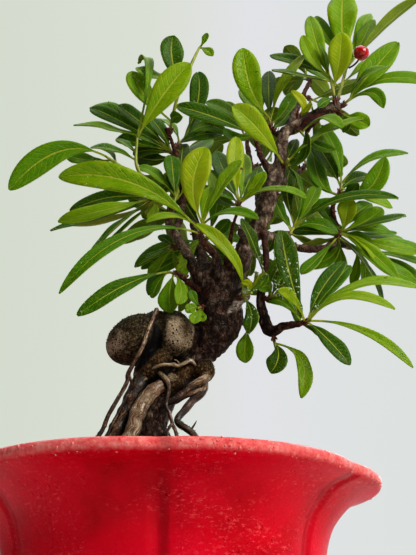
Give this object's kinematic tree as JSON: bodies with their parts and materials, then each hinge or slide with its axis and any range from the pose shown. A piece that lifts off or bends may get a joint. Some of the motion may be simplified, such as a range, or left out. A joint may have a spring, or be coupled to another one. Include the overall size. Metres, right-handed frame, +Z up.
{
  "type": "potted bonsai",
  "caption": "Pyracantha bonsai with a swollen exposed root and many narrow leaves, in a round lobed glazed pot.",
  "frame": {"origin": "middle of the pot's flat underside", "axes": "+Z up along the pot's axis, -Y toward the viewer of the front, +X to the front view's right"},
  "size_m": [0.2383, 0.1924, 0.3786],
  "materials": {
    "glaze": "glossy red glaze on stoneware",
    "mesh_plastic": "moulded plastic mesh",
    "soil": "damp granular soil",
    "bark": "rough bark",
    "leaf": "leathery green leaf",
    "fruit": "glossy red skin"
  },
  "bodies": {
    "root": {"berry": "fruit", "drainage_mesh_left": "mesh_plastic", "drainage_mesh_right": "mesh_plastic", "pot": "glaze", "soil": "soil", "spray_back_left_inner": "leaf", "spray_back_left_side": "leaf", "spray_back_left_tip": "leaf", "spray_back_low_side": "leaf", "spray_back_low_tip": "leaf", "spray_back_middle_side": "leaf", "spray_back_middle_tip": "leaf", "spray_back_right_side": "leaf", "spray_back_right_tip": "leaf", "spray_back_top_side": "leaf", "spray_back_top_tip": "leaf", "spray_centre_back": "leaf", "spray_centre_front": "leaf", "spray_centre_top": "leaf", "spray_centre_upright": "leaf", "spray_crown_back": "leaf", "spray_crown_front": "leaf", "spray_crown_right": "leaf", "spray_fork": "leaf", "spray_inner_back": "leaf", "spray_inner_left": "leaf", "spray_left_back": "leaf", "spray_left_far": "leaf", "spray_left_hanging": "leaf", "spray_left_inner": "leaf", "spray_left_low": "leaf", "spray_left_upright": "leaf", "spray_limb_end": "leaf", "spray_limb_side": "leaf", "spray_lower_hanging": "leaf", "spray_lower_right": "leaf", "spray_right_far": "leaf", "spray_right_front": "leaf", "spray_right_middle": "leaf", "spray_right_upper": "leaf", "spray_top_left": "leaf", "spray_top_left_back": "leaf", "spray_trunk_dark": "leaf", "spray_trunk_front": "leaf", "spray_trunk_left": "leaf", "spray_trunk_low": "leaf", "spray_trunk_right": "leaf", "spray_upper_left_side": "leaf", "spray_young_shoot": "leaf", "trunk": "bark"}
  },
  "joints": []
}
